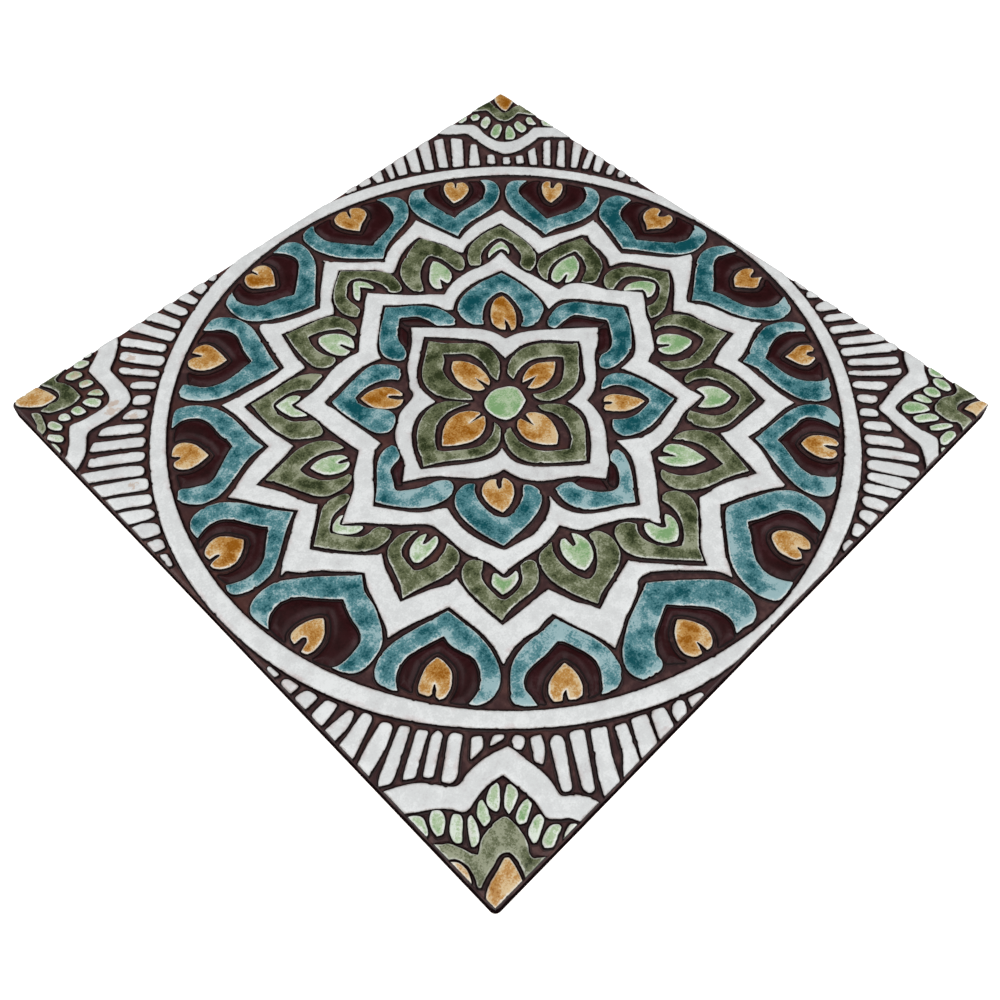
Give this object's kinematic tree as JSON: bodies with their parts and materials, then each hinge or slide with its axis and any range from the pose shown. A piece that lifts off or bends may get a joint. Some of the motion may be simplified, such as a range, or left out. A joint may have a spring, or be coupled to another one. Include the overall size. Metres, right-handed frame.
{
  "type": "relief wall tile",
  "caption": "Square handmade ceramic wall tile with a carved rosette of petals and stars in a ring, raised glazed fields between dark carved lines, and petal corner panels",
  "frame": {"origin": "centre of the flat underside, midway between the four sides", "axes": "+Z is the normal of the glazed face, away from the wall or bed; +X and +Y run along the sides of the square"},
  "size_m": [0.3, 0.3, 0.009],
  "materials": {
    "glaze": "glossy multicolour glaze over carved relief, dark brown in the carved lines"
  },
  "bodies": {
    "root": {"tile": "glaze"}
  },
  "joints": []
}
